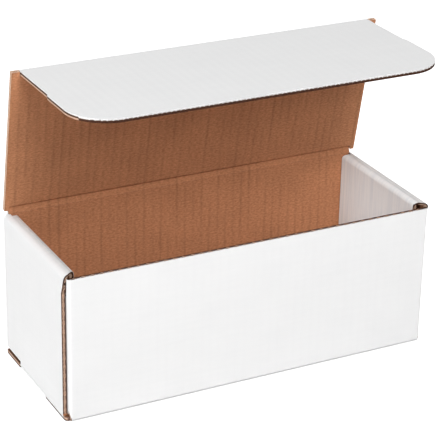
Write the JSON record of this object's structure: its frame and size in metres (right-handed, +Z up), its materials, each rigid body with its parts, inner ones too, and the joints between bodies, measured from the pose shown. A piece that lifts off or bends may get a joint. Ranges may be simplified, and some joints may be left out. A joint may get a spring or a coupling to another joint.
{
  "type": "corrugated mailer box",
  "caption": "Long folded corrugated mailer with rolled-over side walls, a hinged lid and a rounded tuck flap, white outside and kraft inside.",
  "frame": {"origin": "middle of the tray's underside, on the surface it stands on", "axes": "+X along the length, -Y towards the front wall, +Z up"},
  "size_m": [0.274, 0.1265, 0.2156],
  "materials": {
    "board": "matte white paper outside, brown kraft inside"
  },
  "bodies": {
    "tray": {"tray": "board"},
    "lid": {"lid": "board"},
    "tuck_flap": {"tuck_flap": "board"}
  },
  "joints": [
    {"name": "lid_crease", "type": "hinge", "parent": "tray", "child": "lid", "pos_m": [0, 0.054, 0.1096], "axis": [-1, 0, 0], "range_deg": [-64.9, 101.1]},
    {"name": "tuck_crease", "type": "hinge", "parent": "lid", "child": "tuck_flap", "pos_m": [0, 0.03329, 0.21519], "axis": [1, 0, 0], "range_deg": [-78.7, 11.3]}
  ]
}
